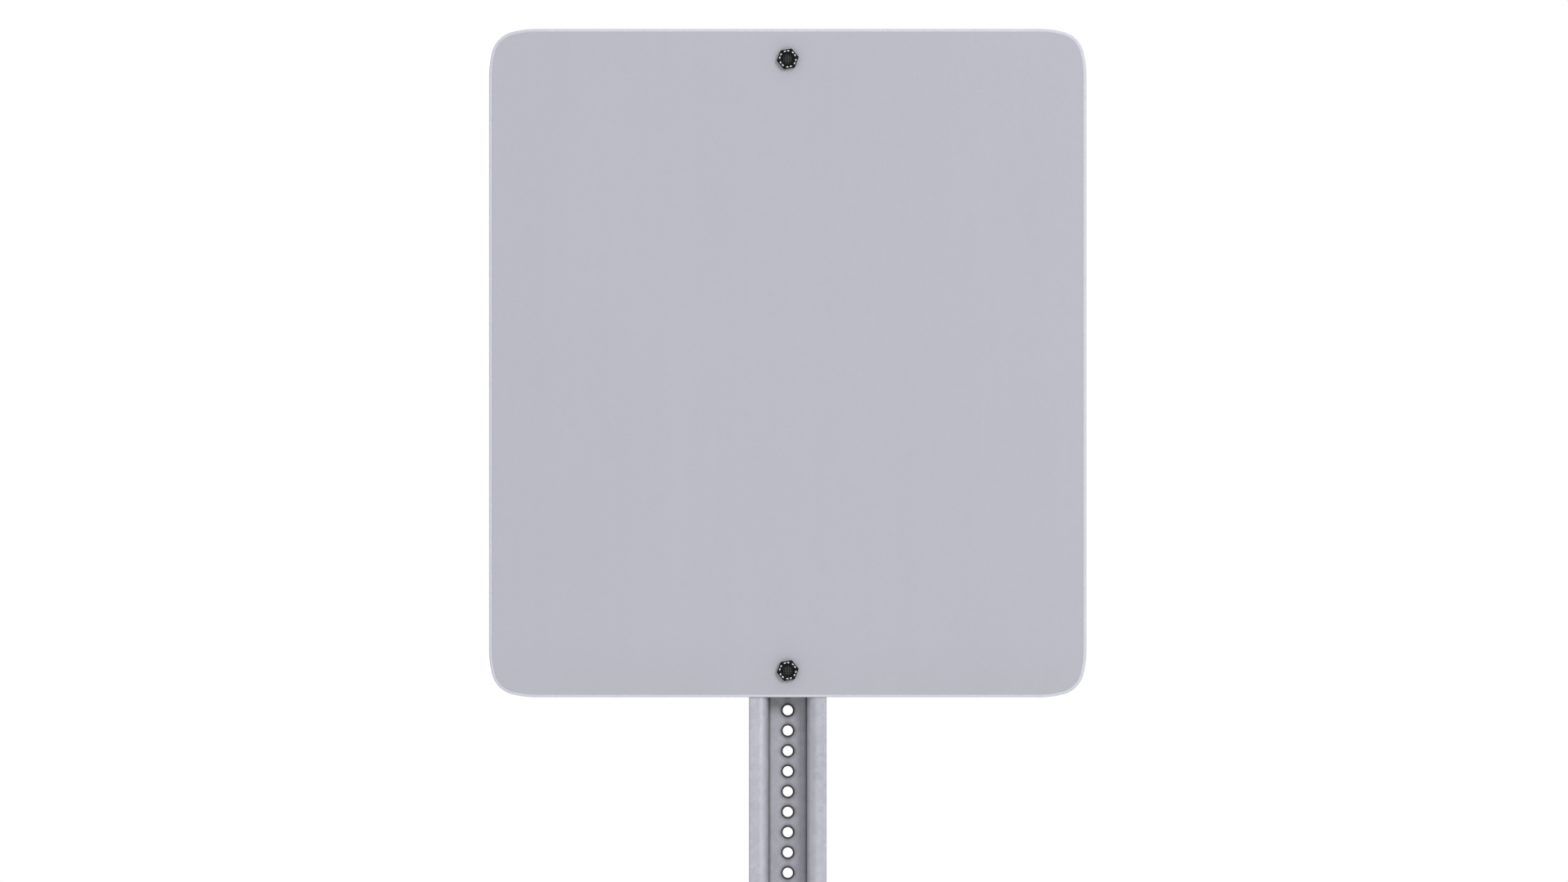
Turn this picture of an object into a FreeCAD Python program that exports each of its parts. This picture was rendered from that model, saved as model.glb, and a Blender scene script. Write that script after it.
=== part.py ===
import FreeCAD, Part
import math
import os
import Sketcher

# A road sign on a flanged U-channel post: a blank rounded panel with reflective sheeting on its face, held to
# the post by two long bolts that cross the channel, and a surface-mount foot that the post is bolted to.
# The sign faces -Y and +Z is up. The origin is on the ground, under the middle of the base plate.

Vec = FreeCAD.Vector
Con = Sketcher.Constraint
START = 1
END = 2
CENTRE = 3
ORIGIN = (-1, 1)
ROW_X_AXIS = -1
ROW_Y_AXIS = -2

SIZES = [
    # the post: channel section, hole row
    ("post_width", 96.8),
    ("trough_width", 48.4),
    ("post_depth", 45.0),
    ("post_wall", 4.0),
    ("flange_bend", 11.6),
    ("web_bend", 2.5),
    ("flange_edge", 1.6),
    ("hole_pitch", 25.4),
    ("hole_rim", 2.2),
    ("holes_above_sign_bolts", 0),
    ("post_lift", 8.0),
    # the sign panel and its sheeting
    ("panel_width", 744.5),
    ("corner_reach", 58.2),
    ("corner_lead", 117.0),
    ("corner_nose", 34.2),
    ("panel_thickness", 3.2),
    ("panel_edge", 1.4),
    ("panel_low_margin", 33.4),
    ("panel_high_margin", 37.6),
    ("sheeting_thickness", 0.4),
    ("sheeting_margin", 3.5),
    ("sign_low_hole", 61),
    ("sign_bolt_pitches", 30),
    # bolts, washers and nuts
    ("bolt_shank", 12.0),
    ("bolt_clearance", 0.5),
    ("thread_pitch", 1.75),
    ("thread_depth", 0.9),
    ("thread_turns", 12),
    ("bolt_end_chamfer", 1.2),
    ("head_flats", 24.0),
    ("head_height", 8.0),
    ("head_shoulder", 1.2),
    ("head_land", 1.8),
    ("dish_slope", 3.4),
    ("dish_depth", 2.0),
    ("head_turn", 9.4),
    ("bolt_stickout", 4.0),
    ("washer_outside", 28.0),
    ("washer_thickness", 2.5),
    ("lock_outside", 21.0),
    ("lock_thickness", 3.0),
    ("lock_slit", 1.6),
    ("nut_flats", 22.0),
    ("nut_height", 11.0),
    ("nut_shoulder", 0.4),
    ("nut_play", 0.05),
    # the foot
    ("base_side", 250.0),
    ("base_thickness", 12.0),
    ("base_corner", 20.0),
    ("anchor_spacing", 190.0),
    ("anchor_bore", 14.0),
    ("upright_width", 50.0),
    ("upright_thickness", 10.0),
    ("upright_margin", 28.0),
    ("upright_corner", 6.0),
    ("foot_low_hole", 7),
    ("foot_bolt_pitches", 3),
    ("gusset_thickness", 8.0),
    ("gusset_height", 130.0),
    ("gusset_reach", 80.0),
    ("gusset_toe", 14.0),
    ("gusset_inset", 1.0),
    ("weld_leg", 5.0),
]

doc = FreeCAD.newDocument("signpost")
sheet = doc.addObject("Spreadsheet::Sheet", "sizes")
for row, (alias, value) in enumerate(SIZES, start=1):
    sheet.set(f"A{row}", alias)
    sheet.set(f"B{row}", repr(value))
    sheet.setAlias(f"B{row}", alias)
doc.recompute()

size = {alias: float(sheet.get(alias)) for alias, value in SIZES}
subparts = []


def cell(formula):
    """Names each size of a formula in the sheet, so that 'post_depth / 2' reads its cell."""
    words = formula.split(" ")
    return " ".join("<<sizes>>." + word if word in size else word for word in words)


def value_of(formula):
    """The formula's number at the sheet's present sizes."""
    total = doc.addObject("App::FeaturePython", "scratch")
    total.addProperty("App::PropertyFloat", "answer")
    total.setExpression("answer", cell(formula))
    total.recompute()
    answer = total.answer
    doc.removeObject(total.Name)
    return answer


def place(piece, label, x="0", y="0", z="0"):
    """Labels a sub-part, and binds its place to the sheet."""
    piece.Label = label
    for axis, formula in (("x", x), ("y", y), ("z", z)):
        piece.setExpression(f"Placement.Base.{axis}", f"( {cell(formula)} ) * 1 mm")
    subparts.append(piece)
    return piece


def turn_about_bolt(piece, turn):
    """Turns a piece about a bolt's line, anticlockwise as the sign's reader sees it, in degrees."""
    piece.Placement = FreeCAD.Placement(Vec(0, 0, 0), FreeCAD.Rotation(Vec(0, -1, 0), 1.0))
    piece.setExpression("Placement.Rotation.Angle", f"( {cell(turn)} ) * 1 deg")


def new_body(name):
    return doc.addObject("PartDesign::Body", name + "_body")


def origin_feature(body, role):
    return next(f for f in body.Origin.OriginFeatures if f.Role == role)


def new_sketch(body, name, plane):
    sketch = body.newObject("Sketcher::SketchObject", name)
    sketch.AttachmentSupport = [(origin_feature(body, plane), "")]
    sketch.MapMode = "FlatFace"
    return sketch


def bind(sketch, constraint, name, formula):
    """Adds one dimension to a sketch and ties it to the sheet."""
    index = sketch.addConstraint(constraint)
    sketch.renameConstraint(index, name)
    sketch.setExpression(f"Constraints.{name}", cell(formula))


def line(sketch, x0, y0, x1, y1):
    return sketch.addGeometry(Part.LineSegment(Vec(x0, y0, 0), Vec(x1, y1, 0)), False)


def arc(sketch, x, y, radius, start_deg, end_deg):
    circle = Part.Circle(Vec(x, y, 0), Vec(0, 0, 1), radius)
    return sketch.addGeometry(
        Part.ArcOfCircle(circle, math.radians(start_deg), math.radians(end_deg)), False)


def closed_polygon(sketch, points):
    """Lines through the points, joined end to start; gives the index of the first line."""
    first = sketch.GeometryCount
    for here, there in zip(points, points[1:] + points[:1]):
        line(sketch, *here, *there)
    count = len(points)
    for i in range(count):
        sketch.addConstraint(Con("Coincident", first + i, END, first + (i + 1) % count, START))
    return first


def place_point(sketch, geometry, point, name, x, y):
    """Ties one corner of a sketch to its place from the origin; a place of 0 lies on the axis."""
    for kind, axis, formula in (("DistanceX", -2, x), ("DistanceY", -1, y)):
        number = value_of(formula)
        if abs(number) < 1e-9:
            sketch.addConstraint(Con("PointOnObject", geometry, point, axis))
        else:
            bind(sketch, Con(kind, *ORIGIN, geometry, point, number), f"{name}_{kind[-1].lower()}", formula)


def polygon_sketch(body, name, plane, corners):
    """A closed outline whose corners are each tied to the sheet: a list of (x formula, y formula)."""
    sketch = new_sketch(body, name, plane)
    points = [(value_of(x), value_of(y)) for x, y in corners]
    first = closed_polygon(sketch, points)
    for i, (x, y) in enumerate(corners):
        place_point(sketch, first + i, START, f"corner{i}", x, y)
    return sketch


def rounded_rectangle(sketch, width, height, radius):
    """A rectangle with round corners, centred on the sketch's origin."""
    half_w = value_of(width) / 2
    half_h = value_of(height) / 2
    r = value_of(radius)
    sides = []
    corners = []
    for start, end, centre, turn in (
        ((-half_w + r, -half_h), (half_w - r, -half_h), (half_w - r, -half_h + r), 270),
        ((half_w, -half_h + r), (half_w, half_h - r), (half_w - r, half_h - r), 0),
        ((half_w - r, half_h), (-half_w + r, half_h), (-half_w + r, half_h - r), 90),
        ((-half_w, half_h - r), (-half_w, -half_h + r), (-half_w + r, -half_h + r), 180),
    ):
        sides.append(line(sketch, *start, *end))
        corners.append(arc(sketch, *centre, r, turn, turn + 90))
    for i in range(4):
        sketch.addConstraint(Con("Tangent", sides[i], END, corners[i], START))
        sketch.addConstraint(Con("Tangent", corners[i], END, sides[(i + 1) % 4], START))
        sketch.addConstraint(Con("Horizontal" if i % 2 == 0 else "Vertical", sides[i]))
    for corner in corners[1:]:
        sketch.addConstraint(Con("Equal", corners[0], corner))
    sketch.addConstraint(Con("Symmetric", corners[0], CENTRE, corners[2], CENTRE, *ORIGIN))
    bind(sketch, Con("Radius", corners[0], r), "corner_radius", radius)
    bind(sketch, Con("DistanceY", sides[0], START, sides[2], START, 2 * half_h), "height", height)
    bind(sketch, Con("DistanceX", sides[3], START, sides[1], START, 2 * half_w), "width", width)


def eased_rectangle(sketch, width, height, reach, lead, nose):
    """A rectangle, centred on the origin, whose corners ease in: a wide arc, a tighter nose, a wide arc.

    Each corner begins at 'reach' from where the two sides would meet.
    """
    half_w, half_h, far, wide, tight = (value_of(f) for f in (width, height, reach, lead, nose))
    half_w, half_h = half_w / 2, half_h / 2
    both = far + wide
    centre = (both - math.sqrt(both ** 2 - 2 * (far ** 2 + wide ** 2 - (wide - tight) ** 2))) / 2
    ease = math.degrees(math.atan2(far - centre, wide - centre))
    in_x, in_y = half_w - far, half_h - far
    ends = [((-in_x, -half_h), (in_x, -half_h)), ((half_w, -in_y), (half_w, in_y)),
            ((in_x, half_h), (-in_x, half_h)), ((-half_w, in_y), (-half_w, -in_y))]
    quarters = [(1, -1, 270), (1, 1, 0), (-1, 1, 90), (-1, -1, 180)]
    sides, leads, noses = [], [], []
    for (start, end), (right, up, turn) in zip(ends, quarters):
        sides.append(line(sketch, *start, *end))
        by_upright = (right * (half_w - wide), up * (half_h - far))
        by_level = (right * (half_w - far), up * (half_h - wide))
        first, last = (by_upright, by_level) if turn % 180 == 0 else (by_level, by_upright)
        leads.append(arc(sketch, *first, wide, turn, turn + ease))
        noses.append(arc(sketch, right * (half_w - centre), up * (half_h - centre), tight,
                         turn + ease, turn + 90 - ease))
        leads.append(arc(sketch, *last, wide, turn + 90 - ease, turn + 90))
    for i in range(4):
        first, last = leads[2 * i], leads[2 * i + 1]
        for one, other in ((sides[i], first), (first, noses[i]), (noses[i], last), (last, sides[(i + 1) % 4])):
            sketch.addConstraint(Con("Tangent", one, END, other, START))
    sketch.addConstraint(Con("Symmetric", sides[0], START, sides[0], END, ROW_Y_AXIS))
    sketch.addConstraint(Con("Symmetric", sides[1], START, sides[1], END, ROW_X_AXIS))
    for here, opposite in ((sides[0], sides[2]), (sides[1], sides[3])):
        for end in (START, END):
            sketch.addConstraint(Con("Symmetric", here, end, opposite, end, *ORIGIN))
    for same in (leads, noses):
        for other in same[1:]:
            sketch.addConstraint(Con("Equal", same[0], other))
    bind(sketch, Con("Radius", leads[0], wide), "lead_radius", lead)
    bind(sketch, Con("Radius", noses[0], tight), "nose_radius", nose)
    bind(sketch, Con("DistanceX", sides[0], START, sides[0], END, 2 * in_x), "flat_width",
         f"{width} - 2 * ( {reach} )")
    bind(sketch, Con("DistanceY", sides[1], START, sides[1], END, 2 * in_y), "flat_height",
         f"{height} - 2 * ( {reach} )")
    bind(sketch, Con("DistanceX", *ORIGIN, sides[1], START, half_w), "half_width", f"( {width} ) / 2")
    bind(sketch, Con("DistanceY", *ORIGIN, sides[2], START, half_h), "half_height", f"( {height} ) / 2")


def circle_sketch(body, name, plane, diameter, places):
    """Equal round holes, each at a place (x formula, y formula) in the sketch."""
    sketch = new_sketch(body, name, plane)
    for i, (x, y) in enumerate(places):
        centre = Vec(value_of(x), value_of(y), 0)
        hole = sketch.addGeometry(Part.Circle(centre, Vec(0, 0, 1), value_of(diameter) / 2), False)
        bind(sketch, Con("Diameter", hole, value_of(diameter)), f"bore{i}", diameter)
        place_point(sketch, hole, CENTRE, f"hole{i}", x, y)
    return sketch


def pad(body, sketch, length, reverse=False):
    feature = body.newObject("PartDesign::Pad", sketch.Name + "_pad")
    feature.Profile = sketch
    feature.Reversed = reverse
    feature.setExpression("Length", cell(length))
    return feature


def pocket_through(body, sketch):
    """Cuts a sketch right through the body, both ways."""
    doc.recompute()
    before = body.Shape.Volume
    feature = body.newObject("PartDesign::Pocket", sketch.Name + "_pocket")
    feature.Profile = sketch
    feature.Type = "ThroughAll"
    feature.Midplane = True
    doc.recompute()
    if body.Shape.Volume >= before:
        raise RuntimeError(f"{sketch.Name} cuts nothing")
    return feature


def spin(body, kind, sketch, axis):
    """A full turn of a sketch about one axis of the body, added or cut."""
    feature = body.newObject(f"PartDesign::{kind}", f"{sketch.Name}_{kind.lower()}")
    feature.Profile = sketch
    feature.ReferenceAxis = (sketch, [axis])
    feature.Angle = 360
    return feature


def round_edges(body, name, radius, wanted):
    """Fillets the edges of the body for which wanted(edge) is true."""
    doc.recompute()
    base = body.Tip
    names = [f"Edge{i}" for i, edge in enumerate(base.Shape.Edges, start=1) if wanted(edge)]
    if not names:
        raise RuntimeError(f"{name} finds no edge")
    fillet = body.newObject("PartDesign::Fillet", name)
    fillet.Base = (base, names)
    fillet.setExpression("Radius", cell(radius))
    return fillet


def row_pattern(body, name, originals, axis, pitch, count):
    """Repeats features along one axis of the body, a pitch apart."""
    pattern = body.newObject("PartDesign::LinearPattern", name)
    pattern.Originals = originals
    pattern.Direction = (origin_feature(body, axis), [""])
    pattern.Mode = "Spacing"
    pattern.setExpression("Offset", cell(pitch))
    pattern.setExpression("Occurrences", cell(count))
    body.Tip = pattern
    return pattern


# ---- places that several pieces share ---------------------------------------------------------------------

POST_FOOT = "( base_thickness + post_lift )"
WEB_FRONT = "( post_depth / 2 - post_wall )"
WEB_BACK = "( post_depth / 2 )"
FLANGE_FRONT = "( - post_depth / 2 )"
PANEL_FRONT = "( - post_depth / 2 - panel_thickness )"
SHEETING_FRONT = "( - post_depth / 2 - panel_thickness - sheeting_thickness )"
SIGN_LOW_BOLT = f"( {POST_FOOT} + hole_pitch * sign_low_hole )"
SIGN_HIGH_BOLT = f"( {SIGN_LOW_BOLT} + hole_pitch * sign_bolt_pitches )"
FOOT_LOW_BOLT = f"( {POST_FOOT} + hole_pitch * foot_low_hole )"
FOOT_HIGH_BOLT = f"( {FOOT_LOW_BOLT} + hole_pitch * foot_bolt_pitches )"
HOLE_COUNT = "( sign_low_hole + sign_bolt_pitches + holes_above_sign_bolts )"
PANEL_HEIGHT = "( panel_low_margin + hole_pitch * sign_bolt_pitches + panel_high_margin )"
PANEL_MIDDLE = f"( {SIGN_LOW_BOLT} - panel_low_margin + {PANEL_HEIGHT} / 2 )"
UPRIGHT_BACK = "( post_depth / 2 + upright_thickness )"
BOLT_HOLE = "( bolt_shank + bolt_clearance )"
HEAD_LAND_RADIUS = "( head_flats / 2 - head_shoulder )"
NUT_LAND_RADIUS = "( nut_flats / 2 - nut_shoulder )"
NUT_STACK = "( washer_thickness + lock_thickness + nut_height + bolt_stickout )"


# ---- the post ---------------------------------------------------------------------------------------------

def channel_half(sketch):
    """The right half of the channel section: web, web bend, side wall, flange bend, flange.

    Each bend is two arcs about one centre, a wall's thickness apart.
    """
    half = value_of("post_width / 2")
    side = value_of("trough_width / 2")
    back = value_of(WEB_BACK)
    wall = value_of("post_wall")
    inner = value_of("web_bend")
    outer = value_of("flange_bend")
    web_x, web_y = side - inner, back - wall - inner
    bend_x, bend_y = side + outer, -back + outer

    web_back = line(sketch, 0, back, web_x, back)
    web_outer = arc(sketch, web_x, web_y, inner + wall, 0, 90)
    side_outer = line(sketch, side + wall, web_y, side + wall, bend_y)
    flange_inner = arc(sketch, bend_x, bend_y, outer - wall, 180, 270)
    flange_back = line(sketch, bend_x, wall - back, half, wall - back)
    tip = line(sketch, half, wall - back, half, -back)
    flange_front = line(sketch, half, -back, bend_x, -back)
    flange_outer = arc(sketch, bend_x, bend_y, outer, 180, 270)
    side_inner = line(sketch, side, bend_y, side, web_y)
    web_inner = arc(sketch, web_x, web_y, inner, 0, 90)
    web_front = line(sketch, web_x, back - wall, 0, back - wall)
    middle = line(sketch, 0, back - wall, 0, back)

    for one, one_end, other, other_end in (
        (web_back, END, web_outer, END),
        (web_outer, START, side_outer, START),
        (side_outer, END, flange_inner, START),
        (flange_inner, END, flange_back, START),
        (flange_front, END, flange_outer, END),
        (flange_outer, START, side_inner, START),
        (side_inner, END, web_inner, START),
        (web_inner, END, web_front, START),
    ):
        sketch.addConstraint(Con("Tangent", one, one_end, other, other_end))
    for one, other in ((flange_back, tip), (tip, flange_front), (web_front, middle), (middle, web_back)):
        sketch.addConstraint(Con("Coincident", one, END, other, START))
    sketch.addConstraint(Con("Coincident", web_outer, CENTRE, web_inner, CENTRE))
    sketch.addConstraint(Con("Coincident", flange_inner, CENTRE, flange_outer, CENTRE))
    for flat in (web_back, web_front, flange_back, flange_front):
        sketch.addConstraint(Con("Horizontal", flat))
    for upright in (tip, side_inner, middle):
        sketch.addConstraint(Con("Vertical", upright))
    sketch.addConstraint(Con("PointOnObject", middle, START, ROW_Y_AXIS))
    bind(sketch, Con("DistanceX", *ORIGIN, tip, START, half), "half_width", "post_width / 2")
    bind(sketch, Con("DistanceX", *ORIGIN, side_inner, START, side), "half_trough", "trough_width / 2")
    bind(sketch, Con("DistanceY", *ORIGIN, web_back, START, back), "half_depth", WEB_BACK)
    bind(sketch, Con("DistanceY", middle, START, middle, END, wall), "web_wall", "post_wall")
    bind(sketch, Con("DistanceY", flange_front, START, web_back, START, 2 * back), "depth", "post_depth")
    bind(sketch, Con("DistanceY", tip, END, tip, START, wall), "flange_wall", "post_wall")
    bind(sketch, Con("Radius", web_inner, inner), "web_radius", "web_bend")
    bind(sketch, Con("Radius", flange_outer, outer), "flange_radius", "flange_bend")


def rim_profile(body):
    """Half the section of one punched hole: a bore that opens at the front in a rolled rim."""
    sketch = new_sketch(body, "hole_section", "YZ_Plane")
    bore = value_of(f"{BOLT_HOLE} / 2")
    rim = value_of("hole_rim")
    front = value_of(WEB_FRONT)
    back = value_of(WEB_BACK)
    height = value_of("hole_pitch")
    past = line(sketch, back, height, front, height)
    mouth = line(sketch, front, height, front, height + bore + rim)
    roll = arc(sketch, front + rim, height + bore + rim, rim, 180, 270)
    wall = line(sketch, front + rim, height + bore, back, height + bore)
    end = line(sketch, back, height + bore, back, height)
    for one, one_end, other, other_end in (
        (past, END, mouth, START),
        (mouth, END, roll, START),
        (wall, END, end, START),
        (end, END, past, START),
    ):
        sketch.addConstraint(Con("Coincident", one, one_end, other, other_end))
    sketch.addConstraint(Con("Tangent", roll, END, wall, START))
    for level in (past, wall):
        sketch.addConstraint(Con("Horizontal", level))
    for upright in (mouth, end):
        sketch.addConstraint(Con("Vertical", upright))
    sketch.addConstraint(Con("Horizontal", mouth, END, roll, CENTRE))
    bind(sketch, Con("Radius", roll, rim), "rim_radius", "hole_rim")
    bind(sketch, Con("DistanceY", end, END, end, START, bore), "bore_radius", f"{BOLT_HOLE} / 2")
    bind(sketch, Con("DistanceX", *ORIGIN, mouth, START, front), "web_face", WEB_FRONT)
    bind(sketch, Con("DistanceX", *ORIGIN, end, START, back), "web_rear", WEB_BACK)
    bind(sketch, Con("DistanceY", *ORIGIN, past, START, height), "first_hole", "hole_pitch")
    return sketch


def make_post():
    body = new_body("post")
    section = new_sketch(body, "channel_section", "XY_Plane")
    channel_half(section)
    half = pad(body, section, f"hole_pitch * ( {HOLE_COUNT} + 1 )")
    doc.recompute()
    whole = body.newObject("PartDesign::Mirrored", "channel")
    whole.Originals = [half]
    whole.MirrorPlane = (origin_feature(body, "YZ_Plane"), [""])
    body.Tip = whole
    edge_x = size["post_width"] / 2
    count = value_of(HOLE_COUNT)
    length = size["hole_pitch"] * (count + 1)
    round_edges(body, "flange_edges", "flange_edge",
                lambda e: abs(abs(e.BoundBox.XMin) - edge_x) < 1e-3 and e.BoundBox.XLength < 1e-3
                and abs(e.Length - length) < 1e-3)
    doc.recompute()
    before = body.Shape.Volume
    profile = rim_profile(body)
    groove = body.newObject("PartDesign::Groove", "punched_hole")
    groove.Profile = profile
    groove.ReferenceAxis = (profile, ["Edge1"])
    groove.Angle = 360
    doc.recompute()
    row_pattern(body, "hole_row", [groove], "Z_Axis", "hole_pitch", HOLE_COUNT)
    doc.recompute()
    one_hole = math.pi * value_of(f"{BOLT_HOLE} / 2") ** 2 * size["post_wall"]
    if before - body.Shape.Volume < one_hole * count:
        raise RuntimeError("the hole row is not whole")
    place(body, "post", z=POST_FOOT)


# ---- the sign ---------------------------------------------------------------------------------------------

def sign_plate(name, thickness, margin, back_face):
    """A rounded plate with the two sign bolts' holes; its back lies on the plane y = back_face."""
    body = new_body(name)
    outline = new_sketch(body, name + "_outline", "XZ_Plane")
    eased_rectangle(outline, f"panel_width - 2 * {margin}", f"{PANEL_HEIGHT} - 2 * {margin}",
                    f"corner_reach - {margin}", f"corner_lead - {margin}", f"corner_nose - {margin}")
    pad(body, outline, thickness)
    holes = circle_sketch(body, name + "_holes", "XZ_Plane", BOLT_HOLE, [
        ("0", f"panel_low_margin - {PANEL_HEIGHT} / 2"),
        ("0", f"{PANEL_HEIGHT} / 2 - panel_high_margin"),
    ])
    pocket_through(body, holes)
    place(body, name, y=back_face, z=PANEL_MIDDLE)
    return body


def make_sign():
    panel = sign_plate("sign_panel", "panel_thickness", "0", FLANGE_FRONT)
    bore = value_of(f"{BOLT_HOLE} / 2")
    round_edges(panel, "panel_rim", "panel_edge",
                lambda e: e.BoundBox.YLength < 1e-3 and getattr(e.Curve, "Radius", 2 * bore) > bore + 1e-3)
    sign_plate("face_sheeting", "sheeting_thickness", "sheeting_margin", PANEL_FRONT)


# ---- bolts, washers and nuts ------------------------------------------------------------------------------

def hexagon(body, name, plane, flats):
    """A regular hexagon with one corner along the sketch's first axis."""
    radius = f"{flats} / 2 / cos( 30 )"
    corners = [(f"{radius} * cos( {60 * i} )", f"{radius} * sin( {60 * i} )") for i in range(6)]
    return polygon_sketch(body, name, plane, corners)


def make_bolt(name, head_back, height, grip, turn):
    """A hex bolt along Y, its dished head at the front; grip runs from the head to the bolt's end."""
    body = new_body(name)
    head = hexagon(body, name + "_hexagon", "XZ_Plane", "head_flats")
    pad(body, head, "head_height")
    crown = polygon_sketch(body, name + "_crown", "YZ_Plane", [
        ("- head_height", HEAD_LAND_RADIUS),
        ("- head_height + head_flats / 2 * tan( 30 )", f"{HEAD_LAND_RADIUS} + head_flats / 2"),
        ("- head_height * 2", f"{HEAD_LAND_RADIUS} + head_flats / 2"),
        ("- head_height * 2", HEAD_LAND_RADIUS),
    ])
    spin(body, "Groove", crown, "H_Axis")
    dish = polygon_sketch(body, name + "_dish", "YZ_Plane", [
        ("- head_height", "0"),
        ("- head_height", f"{HEAD_LAND_RADIUS} - head_land"),
        ("- head_height + dish_depth", f"{HEAD_LAND_RADIUS} - head_land - dish_slope"),
        ("- head_height + dish_depth", "0"),
    ])
    spin(body, "Groove", dish, "H_Axis")
    shank = polygon_sketch(body, name + "_shank", "YZ_Plane", [
        ("0", "0"),
        ("0", "bolt_shank / 2"),
        (f"{grip} - bolt_end_chamfer", "bolt_shank / 2"),
        (grip, "bolt_shank / 2 - bolt_end_chamfer"),
        (grip, "0"),
    ])
    spin(body, "Revolution", shank, "H_Axis")
    valley = polygon_sketch(body, name + "_valley", "YZ_Plane", [
        (f"{grip} - bolt_end_chamfer - thread_pitch * 0.9", "bolt_shank / 2"),
        (f"{grip} - bolt_end_chamfer - thread_pitch / 2", "bolt_shank / 2 - thread_depth"),
        (f"{grip} - bolt_end_chamfer - thread_pitch * 0.1", "bolt_shank / 2"),
    ])
    groove = spin(body, "Groove", valley, "H_Axis")
    doc.recompute()
    turns = row_pattern(body, name + "_thread", [groove], "Y_Axis", "thread_pitch", "thread_turns")
    turns.Reversed = True
    turn_about_bolt(body, turn)
    place(body, name, y=head_back, z=height)


def make_washer(name, front, height):
    body = new_body(name)
    ring = polygon_sketch(body, name + "_section", "YZ_Plane", [
        ("0", f"{BOLT_HOLE} / 2"),
        ("0", "washer_outside / 2"),
        ("washer_thickness", "washer_outside / 2"),
        ("washer_thickness", f"{BOLT_HOLE} / 2"),
    ])
    spin(body, "Revolution", ring, "H_Axis")
    outside = size["washer_outside"] * 3
    round_edges(body, name + "_edge", "washer_thickness / 8",
                lambda e: e.Length > outside and e.BoundBox.YLength < 1e-3)
    place(body, name, y=front, z=height)


def make_lock_washer(name, front, height):
    """A spring ring, split by one slanted slit."""
    body = new_body(name)
    ring = polygon_sketch(body, name + "_section", "YZ_Plane", [
        ("0", f"{BOLT_HOLE} / 2"),
        ("0", "lock_outside / 2"),
        ("lock_thickness", "lock_outside / 2"),
        ("lock_thickness", f"{BOLT_HOLE} / 2"),
    ])
    spin(body, "Revolution", ring, "H_Axis")
    slit = polygon_sketch(body, name + "_slit", "XY_Plane", [
        ("lock_slit * -1.5", "0"),
        ("lock_slit * -0.5", "0"),
        ("lock_slit * 1.5", "lock_thickness"),
        ("lock_slit * 0.5", "lock_thickness"),
    ])
    doc.recompute()
    before = body.Shape.Volume
    cut = body.newObject("PartDesign::Pocket", name + "_split")
    cut.Profile = slit
    cut.Reversed = True
    cut.setExpression("Length", cell("lock_outside"))
    doc.recompute()
    if body.Shape.Volume >= before:
        raise RuntimeError(f"{name} is not split")
    place(body, name, y=front, z=height)


def make_nut(name, front, height, turn):
    """A hex nut along Y, with both ends chamfered."""
    body = new_body(name)
    blank = hexagon(body, name + "_hexagon", "XZ_Plane", "nut_flats")
    pad(body, blank, "nut_height", reverse=True)
    reach = "nut_flats / 2"
    for end, face, inward, outside in (
        ("front", "0", f"{reach} * tan( 30 )", "- nut_height"),
        ("back", "nut_height", f"nut_height - {reach} * tan( 30 )", "nut_height * 2"),
    ):
        chamfer = polygon_sketch(body, f"{name}_{end}", "YZ_Plane", [
            (face, NUT_LAND_RADIUS),
            (inward, f"{NUT_LAND_RADIUS} + {reach}"),
            (outside, f"{NUT_LAND_RADIUS} + {reach}"),
            (outside, NUT_LAND_RADIUS),
        ])
        spin(body, "Groove", chamfer, "H_Axis")
    bore = circle_sketch(body, name + "_bore", "XZ_Plane", "bolt_shank + 2 * nut_play", [("0", "0")])
    pocket_through(body, bore)
    turn_about_bolt(body, turn)
    place(body, name, y=front, z=height)


def make_fastener(name, height, head_back, joint_back, bolt_turn, nut_turn):
    """One bolt with its washer, lock washer and nut behind the joint that it clamps."""
    make_bolt(f"{name}_bolt", head_back, height, f"( {joint_back} - {head_back} + {NUT_STACK} )", bolt_turn)
    make_washer(f"{name}_washer", joint_back, height)
    make_lock_washer(f"{name}_lock_washer", f"{joint_back} + washer_thickness", height)
    make_nut(f"{name}_nut", f"{joint_back} + washer_thickness + lock_thickness", height, nut_turn)


# ---- the foot ---------------------------------------------------------------------------------------------

def make_base_plate():
    body = new_body("base_plate")
    outline = new_sketch(body, "base_outline", "XY_Plane")
    rounded_rectangle(outline, "base_side", "base_side", "base_corner")
    pad(body, outline, "base_thickness")
    near, far = "- anchor_spacing / 2", "anchor_spacing / 2"
    anchors = circle_sketch(body, "anchor_holes", "XY_Plane", "anchor_bore",
                            [(near, near), (far, near), (far, far), (near, far)])
    pocket_through(body, anchors)
    place(body, "base_plate")


def make_upright():
    """A flat bar that stands on the base plate against the back of the post's web."""
    body = new_body("upright")
    edge = "upright_width / 2"
    low_hole = "( post_lift + hole_pitch * foot_low_hole )"
    high_hole = f"( {low_hole} + hole_pitch * foot_bolt_pitches )"
    top = f"( {high_hole} + upright_margin )"
    outline = polygon_sketch(body, "upright_outline", "XZ_Plane", [
        (f"- {edge}", "0"),
        (edge, "0"),
        (edge, f"{top} - upright_corner"),
        (f"{edge} - upright_corner", top),
        (f"- {edge} + upright_corner", top),
        (f"- {edge}", f"{top} - upright_corner"),
    ])
    pad(body, outline, "upright_thickness", reverse=True)
    holes = circle_sketch(body, "upright_holes", "XZ_Plane", BOLT_HOLE, [("0", low_hole), ("0", high_hole)])
    pocket_through(body, holes)
    place(body, "upright", y=WEB_BACK, z="base_thickness")


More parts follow.
